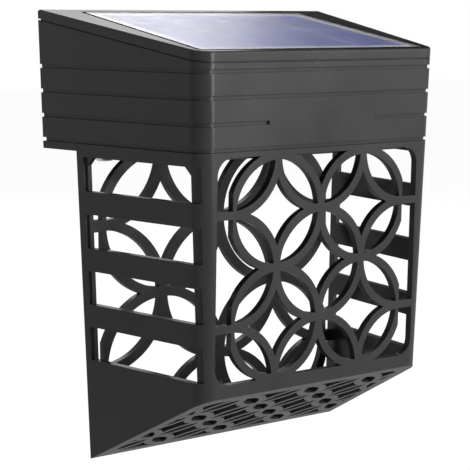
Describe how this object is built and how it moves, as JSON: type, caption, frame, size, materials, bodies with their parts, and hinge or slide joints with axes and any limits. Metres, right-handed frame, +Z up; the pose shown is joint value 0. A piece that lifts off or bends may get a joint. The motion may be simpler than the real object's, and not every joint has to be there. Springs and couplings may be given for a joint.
{
  "type": "solar wall light",
  "caption": "Wedge-topped solar wall light with grooved housing, pierced tapered lantern cage, slatted sides and keyhole hangers.",
  "frame": {"origin": "on the wall face, midway between the seats of the two keyholes", "axes": "+Z up, +Y into the wall, +X to the right as seen from the front; the lamp stands out towards -Y"},
  "size_m": [0.0984, 0.0605, 0.1213],
  "materials": {
    "housing_plastic": "satin",
    "cage_plastic": "satin",
    "cover_resin": "gloss",
    "cell_silicon": "gloss",
    "panel_board": "matte",
    "gasket_rubber": "matte",
    "screw_steel": "satin",
    "board_laminate": "satin",
    "component_black": "satin",
    "led_resin": "gloss",
    "lens_clear": "gloss",
    "cell_sleeve": "gloss",
    "contact_nickel": "satin",
    "button_rubber": "matte",
    "lead_insulation": "satin"
  },
  "bodies": {
    "lamp": {"base_plate": "housing_plastic", "base_screws": "screw_steel", "battery": "cell_sleeve", "battery_holder": "component_black", "battery_leads": "lead_insulation", "board_parts": "component_black", "board_screws": "screw_steel", "button_spring": "contact_nickel", "cage": "cage_plastic", "circuit_board": "board_laminate", "contact_plate": "contact_nickel", "contact_spring": "contact_nickel", "housing_shell": "housing_plastic", "led": "led_resin", "led_lens": "lens_clear", "lid_gasket": "gasket_rubber", "panel_backing": "panel_board", "panel_cover": "cover_resin", "solar_cells": "cell_silicon", "solar_leads": "lead_insulation", "solar_lid": "housing_plastic", "switch_body": "component_black", "switch_leads": "lead_insulation"},
    "button": {"switch_button": "button_rubber"}
  },
  "joints": [
    {"name": "button_press", "type": "slide", "parent": "lamp", "child": "button", "axis": [0, 0, 1], "range_m": [0, 0.0012], "stiffness_N_per_m": 200, "springref_m": -0.002, "deforming": ["button_spring"]}
  ]
}
